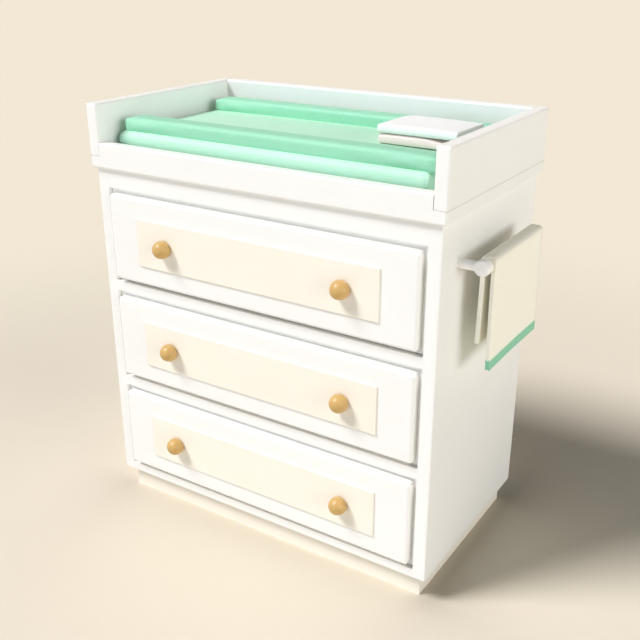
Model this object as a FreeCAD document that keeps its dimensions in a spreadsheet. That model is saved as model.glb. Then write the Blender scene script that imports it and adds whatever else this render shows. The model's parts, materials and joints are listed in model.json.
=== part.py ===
# Changing dresser: a carcass with three drawers under a padded changing tray, and a towel bar.
# Millimetres, +Z up, the front faces -Y and the towel bar is on the +X side.
# The origin is on the floor, under the middle of the carcass.
import FreeCAD, Part
import math
import os
import re
import Sketcher
from FreeCAD import Placement, Rotation, Vector

# Driving dimensions, as they stand in the spreadsheet.
dimensions = {
    # carcass: thick side panels, with rails across the front
    "carcass_width": 900,
    "carcass_depth": 500,
    "panel_thickness": 30,
    "panel_rounding": 3,
    "rail_depth": 20,
    "bottom_rail_height": 21,
    "divider_height": 26,
    "top_rail_height": 45,
    "opening_height": 234,
    "tenon_length": 12,
    "tenon_shoulder": 5,
    "floor_thickness": 18,
    "back_thickness": 6,
    "back_inset": 9,
    "groove_depth": 8,
    "stretcher_depth": 90,
    # plinth
    "plinth_height": 60,
    "plinth_inset": 20,
    "plinth_thickness": 18,
    "bearer_thickness": 40,
    # top board and the tray on it
    "board_thickness": 30,
    "board_overhang": 10,
    "board_rounding": 6,
    "tray_height": 120,
    "tray_thickness": 30,
    "tray_rounding": 5,
    "tray_rail_height": 30,
    # drawer fronts
    "side_reveal": 10,
    "top_reveal": 12,
    "front_thickness": 22,
    "front_proud": 12,
    "front_rounding": 7,
    "lip_gap": 2,
    "lip_thickness": 8,
    "inlay_width": 650,
    "inlay_height": 116,
    "inlay_thickness": 8,
    "inlay_proud": 4,
    "inlay_rounding": 1.5,
    # drawer boxes
    "box_back_clearance": 45,
    "box_lift": 22,
    "box_top_clearance": 52,
    "box_thickness": 12,
    "box_rounding": 3,
    "box_floor_thickness": 6,
    "box_floor_rise": 10,
    "box_groove": 6,
    # knobs
    "knob_diameter": 42,
    "knob_spacing": 480,
    "knob_reach": 12,
    "collar_diameter": 30,
    "collar_height": 3,
    "screw_bore": 4.5,
    "screw_bite": 16,
    # drawer slides: a lipped channel on the carcass, and a hooked runner held in it
    "slide_height": 45,
    "slide_width": 13,
    "slide_gauge": 1.5,
    "slide_lip": 4,
    "slide_gap": 0.4,
    "slide_standoff": 1.3,
    "hook_inset": 5,
    "slide_setback": 5,
    "slide_end_setback": 15,
    "slide_rise": 50,
    "drawer_travel": 300,
    "stop_height": 12,
    "stop_length": 3,
    "stop_overlap": 1.5,
    # towel bar on its one bracket
    "bar_drop": 96,
    "bar_reach": 53,
    "bar_diameter": 12,
    "bar_length": 286,
    "bar_end_rounding": 2,
    "bracket_setback": 80,
    "arm_diameter": 20,
    "spigot_diameter": 10,
    "spigot_length": 18,
    "socket_diameter": 33,
    "socket_length": 24,
    "socket_depth": 16,
    "socket_rounding": 3,
    # towel
    "towel_width": 265,
    "towel_thickness": 9.6,
    "towel_gap": 11,
    "towel_outer_drop": 244,
    "towel_inner_drop": 190,
    "band_height": 21,
    "band_proud": 1.5,
    "soft_gap": 0.3,
    # changing pad
    "pad_side_gap": 16,
    "pad_shift": 9,
    "pad_end_gap": 10,
    "pad_edge_height": 53,
    "pad_crown": 3,
    "pad_corner": 28,
    "pad_waist": 3,
    "pad_top_rounding": 18,
    "pad_bottom_rounding": 8,
    "bolster_inset": 10,
    "bolster_depth": 63,
    "bolster_height": 30,
    "bolster_setback": 20,
    "bolster_rounding": 11,
    "bolster_crown": 1.5,
    # folded cloths on the pad
    "cloth_side_gap": 39.5,
    "cloth_back_gap": 27.5,
    "cloth_width": 187,
    "cloth_depth": 135,
    "cloth_thickness": 21,
    "lower_cloth_inset": 2,
    "lower_cloth_width": 160,
    "lower_cloth_depth": 131,
    "lower_cloth_thickness": 23,
    "cloth_leaves": 3,
}

doc = FreeCAD.newDocument("changing_dresser")
sheet = doc.addObject("Spreadsheet::Sheet", "sizes")
for row, (alias, number) in enumerate(dimensions.items(), start=1):
    sheet.set(f"A{row}", alias)
    sheet.set(f"B{row}", str(number))
    sheet.setAlias(f"B{row}", alias)
doc.recompute()

sub_parts = {}


def bound(text):
    """Expression text with each dimension's name pointed at its cell."""
    def pointed(word):
        name = word.group()
        return f"sizes.{name}" if name in dimensions else name
    return re.sub("[a-z_]+", pointed, text)


def value(text):
    """Number that an expression stands for."""
    return float(sheet.evalExpression(bound(text)))


def near(a, b):
    return abs(a - b) < 0.01


def place(item, corner, rotation=Rotation()):
    item.Placement = Placement(Vector(), rotation)
    for axis, text in zip("xyz", corner):
        item.setExpression(f"Placement.Base.{axis}", bound(text))
    return item


def box(size, corner):
    item = doc.addObject("Part::Box", "block")
    for side, text in zip(("Length", "Width", "Height"), size):
        item.setExpression(side, bound(text))
    return place(item, corner)


def cylinder(radius, height, centre, rotation=Rotation()):
    item = doc.addObject("Part::Cylinder", "round")
    item.setExpression("Radius", bound(radius))
    item.setExpression("Height", bound(height))
    return place(item, centre, rotation)


def fused(*items):
    item = doc.addObject("Part::MultiFuse", "joined")
    item.Shapes = list(items)
    item.Refine = True
    return item


def cut(base, *tools):
    for tool in tools:
        item = doc.addObject("Part::Cut", "cut")
        item.Base = base
        item.Tool = tool
        base = item
    return base


def rounded(base, radius, wanted):
    """Round the edges whose middle point and curve pass the test."""
    doc.recompute()
    item = doc.addObject("Part::Fillet", "rounded")
    item.Base = base
    size = value(radius)
    edges = []
    for number, edge in enumerate(base.Shape.Edges, start=1):
        middle = edge.valueAt((edge.FirstParameter + edge.LastParameter) / 2)
        if wanted(middle, edge):
            edges.append((number, size, size))
    item.Edges = edges
    return item


def formed(shape, position=("0", "0", "0")):
    item = doc.addObject("Part::Feature", "formed")
    item.Shape = shape
    return place(item, position)


def mirrored(source):
    item = doc.addObject("Part::Mirroring", "mirrored")
    item.Source = source
    item.Normal = Vector(1, 0, 0)
    return item


def keep(label, item):
    item.Label = label
    sub_parts[label] = item
    return item


def outline_sketch(body, role, points):
    """Closed outline on one of the body's planes, each corner bound to the sheet."""
    sketch = body.newObject("Sketcher::SketchObject", "outline")
    plane = next(item for item in body.Origin.OriginFeatures if item.Role == role)
    sketch.AttachmentSupport = (plane, [""])
    sketch.MapMode = "FlatFace"
    corners = [Vector(value(across), value(up), 0) for across, up in points]
    for first, second in zip(corners, corners[1:] + corners[:1]):
        sketch.addGeometry(Part.LineSegment(first, second))
    for number in range(len(points)):
        following = (number + 1) % len(points)
        sketch.addConstraint(Sketcher.Constraint("Coincident", number, 2, following, 1))
    for number, corner in enumerate(points):
        for kind, text in zip(("DistanceX", "DistanceY"), corner):
            rule = Sketcher.Constraint(kind, -1, 1, number, 1, value(text))
            index = sketch.addConstraint(rule)
            sketch.setExpression(f"Constraints[{index}]", bound(text))
    return sketch


# Faces and heights that several pieces share.
half_width = "carcass_width / 2"
inner_x = f"({half_width} - panel_thickness)"
front_y = "-carcass_depth / 2"
back_y = "carcass_depth / 2"
back_panel_y = f"({back_y} - back_inset - back_thickness)"
carcass_height = "(bottom_rail_height + 3 * opening_height + 2 * divider_height + top_rail_height)"
carcass_top = f"(plinth_height + {carcass_height})"
board_top = f"({carcass_top} + board_thickness)"
board_half = f"({half_width} + board_overhang)"
board_front = f"({front_y} - board_overhang)"
board_depth = "(carcass_depth + 2 * board_overhang)"
front_face = f"({front_y} - front_proud)"
lip_face = f"({front_face} + front_thickness)"
front_rear = f"({lip_face} + lip_thickness)"
inlay_face = f"({front_face} - inlay_proud)"
box_length = f"({back_panel_y} - box_back_clearance - {front_rear})"
box_height = "(opening_height - box_lift - box_top_clearance)"
slide_front = f"({front_y} + rail_depth + slide_setback)"
slide_length = f"({front_rear} + {box_length} - slide_end_setback - {slide_front})"
bar_x = f"({half_width} + bar_reach)"
bar_height = f"({carcass_top} - bar_drop)"
bracket_y = f"({front_y} + bracket_setback)"
socket_end = f"({bracket_y} + socket_length / 2)"
pad_length = f"(2 * ({board_half} - tray_thickness - pad_side_gap))"
pad_depth = f"({board_depth} - 2 * (tray_thickness + pad_end_gap))"
bolster_face = f"({pad_depth} / 2 - bolster_setback - bolster_depth)"
cloth_x = f"({pad_length} / 2 - pad_shift - cloth_side_gap - cloth_width / 2)"
cloth_y = f"({bolster_face} - cloth_back_gap - cloth_depth / 2)"
outward = Rotation(Vector(0, 1, 0), 90)
forward = Rotation(Vector(1, 0, 0), 90)
backward = Rotation(Vector(1, 0, 0), -90)


def opening_bottom(level):
    return f"(plinth_height + bottom_rail_height + {level} * (opening_height + divider_height))"


def slide_middle(level):
    return f"({opening_bottom(level)} + box_lift + slide_rise)"


# ---- plinth: a ring of boards set back under the carcass, with a bearer across its middle

def build_plinth():
    half_long = f"({half_width} - plinth_inset)"
    half_deep = f"({back_y} - plinth_inset)"
    inner_deep = f"({half_deep} - plinth_thickness)"
    for label, start in (("plinth_front", f"-{half_deep}"), ("plinth_back", inner_deep)):
        size = (f"2 * {half_long}", "plinth_thickness", "plinth_height")
        keep(label, box(size, (f"-{half_long}", start, "0")))
    crossing = (
        ("plinth_left", "plinth_thickness", f"-{half_long}"),
        ("plinth_right", "plinth_thickness", f"{half_long} - plinth_thickness"),
        ("plinth_bearer", "bearer_thickness", "-bearer_thickness / 2"),
    )
    for label, thickness, start in crossing:
        size = (thickness, f"2 * {inner_deep}", "plinth_height")
        keep(label, box(size, (start, f"-{inner_deep}", "0")))


# ---- carcass: side panels mortised for the rails and grooved for the back

def rail_heights():
    """Label, lower edge and height of each rail across the front."""
    rails = [("rail_bottom", "plinth_height", "bottom_rail_height")]
    for level, label in ((1, "rail_lower"), (2, "rail_upper")):
        rails.append((label, f"({opening_bottom(level)} - divider_height)", "divider_height"))
    rails.append(("rail_top", f"({carcass_top} - top_rail_height)", "top_rail_height"))
    return rails


def tenon(side, lower, height):
    """Stub tenon of a rail, on its +X or its -X end."""
    start = inner_x if side > 0 else f"-{inner_x} - tenon_length"
    return box(
        ("tenon_length", "rail_depth - 2 * tenon_shoulder", f"{height} - 2 * tenon_shoulder"),
        (start, f"{front_y} + tenon_shoulder", f"{lower} + tenon_shoulder"),
    )


def side_panel(side):
    start = inner_x if side > 0 else f"-{half_width}"
    groove_start = inner_x if side > 0 else f"-{inner_x} - groove_depth"
    panel = box(
        ("panel_thickness", "carcass_depth", carcass_height),
        (start, front_y, "plinth_height"),
    )
    outer = side * value(half_width)
    panel = rounded(
        panel, "panel_rounding",
        lambda middle, edge: near(middle.x, outer) and near(edge.Length, value(carcass_height)),
    )
    groove = box(
        ("groove_depth", "back_thickness", carcass_height),
        (groove_start, back_panel_y, "plinth_height"),
    )
    mortises = [tenon(side, lower, height) for _, lower, height in rail_heights()]
    return cut(panel, groove, *mortises)


def build_carcass():
    spigot_hole = cylinder(
        "spigot_diameter / 2", "spigot_length",
        (f"{half_width} - spigot_length", bracket_y, bar_height), outward,
    )
    keep("side_left", side_panel(-1))
    keep("side_right", cut(side_panel(1), spigot_hole))
    for label, lower, height in rail_heights():
        rail = box((f"2 * {inner_x}", "rail_depth", height), (f"-{inner_x}", front_y, lower))
        keep(label, fused(rail, tenon(-1, lower, height), tenon(1, lower, height)))

    keep("bottom_panel", box(
        (f"2 * {inner_x}", f"{back_panel_y} - {front_y} - rail_depth", "floor_thickness"),
        (f"-{inner_x}", f"{front_y} + rail_depth", "plinth_height"),
    ))
    keep("top_stretcher", box(
        (f"2 * {inner_x}", "stretcher_depth", "floor_thickness"),
        (f"-{inner_x}", f"{back_panel_y} - stretcher_depth", f"{carcass_top} - floor_thickness"),
    ))
    keep("back_panel", box(
        (f"2 * ({inner_x} + groove_depth)", "back_thickness", carcass_height),
        (f"-{inner_x} - groove_depth", back_panel_y, "plinth_height"),
    ))


# ---- top board, with the tray walls flush with its edge

def build_top():
    seam = value(board_top)
    board = box(
        (f"2 * {board_half}", board_depth, "board_thickness"),
        (f"-{board_half}", board_front, carcass_top),
    )
    keep("top_board", rounded(board, "board_rounding", lambda middle, edge: not near(middle.z, seam)))

    walls = (
        ("tray_left", f"-{board_half}"),
        ("tray_right", f"{board_half} - tray_thickness"),
    )
    for label, start in walls:
        wall = box(("tray_thickness", board_depth, "tray_height"), (start, board_front, board_top))
        keep(label, rounded(wall, "tray_rounding", lambda middle, edge: not near(middle.z, seam)))

    between = f"2 * ({board_half} - tray_thickness)"
    inside_left = f"-({board_half} - tray_thickness)"
    crossing = (
        ("tray_back", f"-{board_front} - tray_thickness", "tray_height"),
        ("tray_rail", board_front, "tray_rail_height"),
    )
    for label, start, height in crossing:
        wall = box((between, "tray_thickness", height), (inside_left, start, board_top))
        rim = value(f"{board_top} + {height}")
        keep(label, rounded(
            wall, "tray_rounding",
            lambda middle, edge: near(middle.z, rim) and near(middle.x, 0),
        ))


# ---- drawer slides, drawn for the +X side from the face of the side panel

def with_mirror_image(points):
    """An outline that is the same above and below its axis, from its upper half."""
    return points + [(across, f"-({up})") for across, up in reversed(points)]


def slide_member(level, points):
    """Section of a slide run along Y."""
    body = doc.addObject("PartDesign::Body", "section")
    sketch = outline_sketch(body, "XZ_Plane", with_mirror_image(points))
    run = body.newObject("PartDesign::Pad", "run")
    run.Profile = sketch
    run.setExpression("Length", bound(slide_length))
    return place(body, (inner_x, f"{slide_front} + {slide_length}", slide_middle(level)))


def keep_pair(label, one_side):
    pair = doc.addObject("Part::Compound", "pair")
    pair.Links = [one_side, mirrored(one_side)]
    keep(label, pair)


def build_slides(level, name):
    inside = "(slide_height / 2 - slide_gauge)"
    mouth = f"({inside} - slide_lip)"
    lip = "(-slide_width + slide_standoff)"
    channel = slide_member(level, [
        ("-slide_gauge", inside),
        (f"{lip} + slide_gauge", inside),
        (f"{lip} + slide_gauge", mouth),
        (lip, mouth),
        (lip, "slide_height / 2"),
        ("0", "slide_height / 2"),
    ])
    web = f"({mouth} - slide_gap)"
    runner = slide_member(level, [
        ("-slide_width", web),
        ("-hook_inset - slide_gauge", web),
        ("-hook_inset - slide_gauge", f"{inside} - slide_gap"),
        ("-hook_inset", f"{inside} - slide_gap"),
        ("-hook_inset", f"{web} - slide_gauge"),
        ("-slide_width + slide_gauge", f"{web} - slide_gauge"),
    ])

    # The stops meet in the space between the hooks and the channel's web, where each
    # stands out past the middle by half of their overlap.
    reach = "((hook_inset - slide_gauge + stop_overlap) / 2)"
    stop_bottom = f"{slide_middle(level)} - stop_height / 2"
    channel_stop = box((reach, "stop_length", "stop_height"), (
        f"{inner_x} - slide_gauge - {reach}",
        f"{slide_front} + {slide_length} - drawer_travel - 2 * stop_length - slide_gap",
        stop_bottom,
    ))
    web_to_tip = f"slide_width - slide_gauge - hook_inset + {reach}"
    runner_stop = box((web_to_tip, "stop_length", "stop_height"), (
        f"{inner_x} - slide_width + slide_gauge",
        f"{slide_front} + {slide_length} - stop_length",
        stop_bottom,
    ))
    keep_pair(f"slide_rails_{name}", fused(channel, channel_stop))
    keep_pair(f"slide_runners_{name}", fused(runner, runner_stop))


# ---- drawers

def knob(across, up):
    """A turned ball on a short collar, flat where it meets the collar and bored for its screw."""
    ball = doc.addObject("Part::Sphere", "ball")
    ball.setExpression("Radius", bound("knob_diameter / 2"))
    ball.setExpression("Angle1", bound("-asin((knob_reach - collar_height) / (knob_diameter / 2))"))
    place(ball, (across, f"{inlay_face} - knob_reach", up), forward)
    collar = cylinder("collar_diameter / 2", "collar_height", (across, inlay_face, up), forward)
    bore = cylinder("screw_bore / 2", "screw_bite", (across, inlay_face, up), forward)
    return cut(fused(ball, collar), bore)


def build_drawer(level, name):
    bottom = opening_bottom(level)
    half_front = f"({inner_x} - side_reveal)"
    half_lip = f"({inner_x} - lip_gap)"
    middle_z = f"({bottom} + opening_height / 2)"
    front_height = "(opening_height - 2 * top_reveal)"
    box_bottom = f"({bottom} + box_lift)"
    box_half = f"({inner_x} - slide_width)"
    inside_half = f"({box_half} - box_thickness)"
    floor_z = f"({box_bottom} + box_floor_rise)"
    above_floor = f"({floor_z} + box_floor_thickness)"

    board = box(
        (f"2 * {half_front}", "front_thickness", front_height),
        (f"-{half_front}", front_face, f"{bottom} + top_reveal"),
    )
    rear = value(lip_face)
    board = rounded(board, "front_rounding", lambda middle, edge: not near(middle.y, rear))
    lip = box(
        (f"2 * {half_lip}", "lip_thickness", "opening_height - 2 * lip_gap"),
        (f"-{half_lip}", lip_face, f"{bottom} + lip_gap"),
    )
    inlay_size = ("inlay_width", "inlay_thickness", "inlay_height")
    inlay_corner = ("-inlay_width / 2", inlay_face, f"{middle_z} - inlay_height / 2")
    floor_size = (
        f"2 * ({inside_half} + box_groove)",
        f"box_groove + {box_length}",
        "box_floor_thickness",
    )
    floor_corner = (f"-({inside_half} + box_groove)", f"{front_rear} - box_groove", floor_z)
    front = cut(fused(board, lip), box(inlay_size, inlay_corner), box(floor_size, floor_corner))
    face = value(inlay_face)
    inlay = rounded(
        box(inlay_size, inlay_corner), "inlay_rounding",
        lambda middle, edge: near(middle.y, face),
    )
    for side, across in (("left", "-knob_spacing / 2"), ("right", "knob_spacing / 2")):
        screw_hole = cylinder(
            "screw_bore / 2", f"{front_rear} - {inlay_face}",
            (across, inlay_face, middle_z), backward,
        )
        front = cut(front, screw_hole)
        inlay = cut(inlay, screw_hole)
        keep(f"knob_{side}_{name}", knob(across, middle_z))
    keep(f"front_{name}", front)
    keep(f"inlay_{name}", inlay)

    rim = value(f"{box_bottom} + {box_height}")
    for side, start in (("left", f"-{box_half}"), ("right", inside_half)):
        wall = box(("box_thickness", box_length, box_height), (start, front_rear, box_bottom))
        wall = rounded(
            wall, "box_rounding",
            lambda middle, edge: near(middle.z, rim) and near(edge.Length, value(box_length)),
        )
        keep(f"box_{side}_{name}", cut(wall, box(floor_size, floor_corner)))
    back_height = f"{box_bottom} + {box_height} - box_rounding - {above_floor}"
    keep(f"box_back_{name}", box(
        (f"2 * {inside_half}", "box_thickness", back_height),
        (f"-{inside_half}", f"{front_rear} + {box_length} - box_thickness", above_floor),
    ))
    keep(f"box_bottom_{name}", box(floor_size, floor_corner))


# ---- towel bar: one bracket near the front, with the bar running back from its socket

def build_towel_bar():
    arm = cylinder("arm_diameter / 2", "bar_reach", (half_width, bracket_y, bar_height), outward)
    spigot = cylinder(
        "spigot_diameter / 2", "spigot_length",
        (f"{half_width} - spigot_length", bracket_y, bar_height), outward,
    )
    socket = cylinder(
        "socket_diameter / 2", "socket_length",
        (bar_x, f"{socket_end} - socket_length", bar_height), backward,
    )
    rim = value("socket_diameter / 2")
    bracket = rounded(
        fused(arm, spigot, socket), "socket_rounding",
        lambda middle, edge: isinstance(edge.Curve, Part.Circle) and near(edge.Curve.Radius, rim),
    )
    bar_start = f"({socket_end} - socket_depth)"
    bore = cylinder("bar_diameter / 2", "socket_depth", (bar_x, bar_start, bar_height), backward)
    keep("towel_bracket", cut(bracket, bore))
    bar = cylinder("bar_diameter / 2", "bar_length", (bar_x, bar_start, bar_height), backward)
    far_end = value(f"{bar_start} + bar_length")
    keep("towel_bar", rounded(bar, "bar_end_rounding", lambda middle, edge: near(middle.y, far_end)))


# ---- soft pieces

def bowed_outline(length, depth, corner, waist, z):
    """Rectangle with round corners, whose four sides draw in to the waist at their middles."""
    edges = []
    turn = corner * (1 - math.sqrt(0.5))
    for quarter in range(4):
        along, out = (length / 2, depth / 2) if quarter % 2 == 0 else (depth / 2, length / 2)
        spin = Rotation(Vector(0, 0, 1), 90 * quarter)
        start = Vector(-along + corner, -out, z)
        end = Vector(along - corner, -out, z)
        side = (start, Vector(0, -out + waist, z), end)
        bend = (end, Vector(along - turn, -out + turn, z), Vector(along, -out + corner, z))
        for points in (side, bend):
            edges.append(Part.Arc(*[spin.multVec(point) for point in points]).toShape())
    return Part.Wire(edges)


def crown_cap(length, depth, z, rise):
    """Low cap on a flat rectangle; its height is rise * (1 - u^2) * (1 - v^2) over the rectangle."""
    surface = Part.BezierSurface()
    surface.increase(2, 2)
    for row in range(3):
        for column in range(3):
            lift = 4 * rise if row == column == 1 else 0
            pole = Vector((row - 1) * length / 2, (column - 1) * depth / 2, z + lift)
            surface.setPole(row + 1, column + 1, pole)
    top = surface.toShape()
    return Part.Solid(Part.Shell([top, Part.Face(top.OuterWire)]))


def pad_cap_size():
    """Length and depth of the pad's cap, clear of its rounded edges and drawn-in sides."""
    margin = value("2 * (pad_top_rounding + 2 * pad_waist)")
    return value(pad_length) - margin, value(pad_depth) - margin


def build_pad():
    base = value(board_top)
    foot = base + value("pad_edge_height")
    outline = bowed_outline(
        value(pad_length), value(pad_depth), value("pad_corner"), value("pad_waist"), base,
    )
    pad = Part.Face(outline).extrude(Vector(0, 0, foot - base))
    upper = [edge for edge in pad.Edges if near(edge.CenterOfMass.z, foot)]
    pad = pad.makeFillet(value("pad_top_rounding"), upper)
    lower = [edge for edge in pad.Edges if near(edge.BoundBox.ZMax, base)]
    pad = pad.makeFillet(value("pad_bottom_rounding"), lower)
    pad = pad.fuse(crown_cap(*pad_cap_size(), foot, value("pad_crown")))
    keep("pad_base", formed(pad, ("-pad_shift", "0", "0")))

    roll_length = value(f"{pad_length} - 2 * bolster_inset")
    roll_depth = value("bolster_depth")
    roll_rounding = value("bolster_rounding")
    roll_top = foot + value("bolster_height") - value("bolster_crown")
    roll_y = value(f"{bolster_face} + bolster_depth / 2")
    corner = Vector(-roll_length / 2, -roll_depth / 2, foot)
    roll = Part.makeBox(roll_length, roll_depth, roll_top - foot, corner)
    roll = roll.makeFillet(roll_rounding, [edge for edge in roll.Edges if edge.CenterOfMass.z > foot])
    flat = 3 * roll_rounding
    roll = roll.fuse(crown_cap(roll_length - flat, roll_depth - flat, roll_top, value("bolster_crown")))
    for label, middle_y in (("bolster_front", -roll_y), ("bolster_back", roll_y)):
        bolster = roll.translated(Vector(0, middle_y, 0))
        keep(label, formed(bolster.cut(pad), ("-pad_shift", "0", "0")))


def folded_cloth(width, depth, thickness, leaves, z):
    """A cloth folded into leaves: its front is one round fold, and the leaves show behind."""
    leaf = thickness / leaves
    fold = thickness / 2
    slit = leaf / 6
    back = depth / 2 - leaf / 2
    low = Vector(0, -depth / 2 + fold, 0)
    high = Vector(0, -depth / 2 + fold, thickness)
    edges = []
    here = low
    for number in range(leaves):
        lower_end = Vector(0, back, number * leaf + (slit / 2 if number else 0))
        upper_end = Vector(0, back, (number + 1) * leaf - (slit / 2 if number < leaves - 1 else 0))
        tip = Vector(0, depth / 2, (number + 0.5) * leaf)
        edges.append(Part.makeLine(here, lower_end))
        edges.append(Part.Arc(lower_end, tip, upper_end).toShape())
        here = upper_end
        if number < leaves - 1:
            here = Vector(0, back - leaf, (number + 1) * leaf)
            edges.append(Part.makeLine(upper_end, here))
    edges.append(Part.makeLine(here, high))
    edges.append(Part.Arc(high, Vector(0, -depth / 2, fold), low).toShape())
    section = Part.Face(Part.Wire(edges))
    section.translate(Vector(-width / 2, 0, z))
    return section.extrude(Vector(width, 0, 0))


def pad_height_under(middle_x, width, middle_y, depth):
    """Highest point of the crowned pad under a rectangle on it, placed from the pad's middle."""
    rise = 1
    spans = ((middle_x, width), (middle_y, depth))
    for (middle, span), size in zip(spans, pad_cap_size()):
        nearest = max(abs(middle) - span / 2, 0)
        rise *= 1 - (2 * nearest / size) ** 2
    return value(f"{board_top} + pad_edge_height") + rise * value("pad_crown")


def build_cloths():
    gap = value("soft_gap")
    leaves = int(value("cloth_leaves"))
    lower_x = f"({cloth_x} - cloth_width / 2 + lower_cloth_inset + lower_cloth_width / 2)"
    lower_width = value("lower_cloth_width")
    lower_depth = value("lower_cloth_depth")
    lower_thickness = value("lower_cloth_thickness")
    off_middle = value(f"{lower_x} + pad_shift")
    rest = gap + pad_height_under(off_middle, lower_width, value(cloth_y), lower_depth)
    lower = folded_cloth(lower_width, lower_depth, lower_thickness, leaves, rest)
    upper = folded_cloth(
        value("cloth_width"), value("cloth_depth"), value("cloth_thickness"), leaves,
        rest + lower_thickness + gap,
    )
    keep("cloth_lower", formed(lower, (lower_x, cloth_y, "0")))
    keep("cloth_upper", formed(upper, (cloth_x, cloth_y, "0")))


def build_towel():
    """A towel folded to a strip and hung over the bar, with a woven band at its outer end."""
    x = value(bar_x)
    z = value(bar_height)
    inner = value("bar_diameter / 2 + soft_gap")
    outer = inner + value("towel_thickness")
    proud = value("band_proud")
    outer_end = z + outer - value("towel_outer_drop")
    inner_end = z + outer - value("towel_inner_drop")
    band_top = outer_end + value("band_height")
    hem = (outer - inner) / 2
    band_hem = hem + proud / 2

    def at(across, up):
        return Vector(x + across, 0, up)

    def arc(*points):
        return Part.Arc(*points).toShape()

    middle = (inner + outer) / 2
    band_middle = middle + proud / 2
    section = Part.Face(Part.Wire([
        arc(at(-outer, z), at(0, z + outer), at(outer, z)),
        Part.makeLine(at(outer, z), at(outer, band_top)),
        Part.makeLine(at(outer, band_top), at(outer + proud, band_top - proud)),
        Part.makeLine(at(outer + proud, band_top - proud), at(outer + proud, outer_end + band_hem)),
        arc(
            at(outer + proud, outer_end + band_hem),
            at(band_middle, outer_end),
            at(inner, outer_end + band_hem),
        ),
        Part.makeLine(at(inner, outer_end + band_hem), at(inner, z)),
        arc(at(inner, z), at(0, z + inner), at(-inner, z)),
        Part.makeLine(at(-inner, z), at(-inner, inner_end + hem)),
        arc(at(-inner, inner_end + hem), at(-middle, inner_end), at(-outer, inner_end + hem)),
        Part.makeLine(at(-outer, inner_end + hem), at(-outer, z)),
    ]))
    width = value("towel_width")
    section.translate(Vector(0, value(f"{socket_end} + towel_gap"), 0))
    keep("towel", formed(section.extrude(Vector(0, width, 0))))


build_plinth()
build_carcass()
build_top()
for level, name in enumerate(("bottom", "middle", "top")):
    build_slides(level, name)
    build_drawer(level, name)
build_towel_bar()
build_pad()
build_cloths()
build_towel()
doc.recompute()

failed = [item.Label for item in doc.Objects if "Invalid" in item.State or "Error" in item.State]
unsound = [label for label, item in sub_parts.items() if item.Shape.isNull() or not item.Shape.isValid()]
if failed or unsound:
    raise RuntimeError(f"failed objects: {failed}; shapes not valid: {unsound}")

os.makedirs("parts", exist_ok=True)
for label, item in sub_parts.items():
    item.Shape.exportStep(f"parts/{label}.step")
print(f"{len(sub_parts)} sub-parts written")
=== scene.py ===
import json
import math
import bmesh
import bpy
import numpy as np
from mathutils.bvhtree import BVHTree
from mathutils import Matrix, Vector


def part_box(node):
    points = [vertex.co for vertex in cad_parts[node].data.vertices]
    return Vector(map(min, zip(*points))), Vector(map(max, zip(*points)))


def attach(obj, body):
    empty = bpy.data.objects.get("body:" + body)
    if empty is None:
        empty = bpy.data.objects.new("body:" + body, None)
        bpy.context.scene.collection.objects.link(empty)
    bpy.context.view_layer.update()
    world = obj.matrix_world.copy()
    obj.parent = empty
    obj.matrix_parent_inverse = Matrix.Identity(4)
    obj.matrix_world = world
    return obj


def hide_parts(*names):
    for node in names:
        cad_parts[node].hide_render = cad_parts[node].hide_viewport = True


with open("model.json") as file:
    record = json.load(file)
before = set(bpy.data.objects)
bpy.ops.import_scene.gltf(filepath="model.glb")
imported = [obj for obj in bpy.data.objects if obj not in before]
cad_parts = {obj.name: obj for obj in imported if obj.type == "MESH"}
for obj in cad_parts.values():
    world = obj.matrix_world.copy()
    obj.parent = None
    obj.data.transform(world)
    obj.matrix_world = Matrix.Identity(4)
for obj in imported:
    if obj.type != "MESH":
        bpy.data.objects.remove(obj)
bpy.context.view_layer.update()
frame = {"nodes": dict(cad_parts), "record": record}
nodes = frame["nodes"]
print("frame loaded:", len(nodes), "nodes")


def toLinear(red, green, blue):
    # display colour from 0 to 255 -> linear colour with alpha
    shares = np.array([red, green, blue]) / 255.0
    low = shares / 12.92
    high = ((shares + 0.055) / 1.055) ** 2.4
    return (*(float(c) for c in np.where(shares <= 0.04045, low, high)), 1.0)


def addNode(tree, kind, settings=None, values=None):
    # a socket among the values is linked, anything else is set
    node = tree.nodes.new("ShaderNode" + kind)
    for key, item in (settings or {}).items():
        setattr(node, key, item)
    for key, item in (values or {}).items():
        if isinstance(item, bpy.types.NodeSocket):
            tree.links.new(item, node.inputs[key])
        else:
            node.inputs[key].default_value = item
    return node


def maths(tree, operation, first, second=0.0, third=0.0):
    values = {0: first, 1: second, 2: third}
    return addNode(tree, "Math", {"operation": operation}, values).outputs[0]


def times(tree, first, second, plus=None):
    # first x second, or first x second + plus
    if plus is None:
        return maths(tree, "MULTIPLY", first, second)
    return maths(tree, "MULTIPLY_ADD", first, second, plus)


def vectorMaths(tree, operation, first, second=(0.0, 0.0, 0.0), output=0):
    values = {0: first, 1: second}
    return addNode(tree, "VectorMath", {"operation": operation}, values).outputs[output]


def scaled(tree, vector, factor):
    return addNode(tree, "VectorMath", {"operation": "SCALE"}, {0: vector, "Scale": factor}).outputs[0]


def apart(tree, vector):
    return addNode(tree, "SeparateXYZ", None, {0: vector}).outputs


def together(tree, *parts):
    return addNode(tree, "CombineXYZ", None, dict(enumerate(parts))).outputs[0]


def remap(tree, value, low, high, toLow=0.0, toHigh=1.0):
    values = {"Value": value, "From Min": low, "From Max": high, "To Min": toLow, "To Max": toHigh}
    return addNode(tree, "MapRange", None, values).outputs[0]


def mix(tree, factor, first, second):
    return addNode(tree, "Mix", None, {0: factor, 2: first, 3: second}).outputs[0]


def mixVector(tree, factor, first, second):
    return addNode(tree, "Mix", {"data_type": "VECTOR"}, {0: factor, 4: first, 5: second}).outputs[1]


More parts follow.
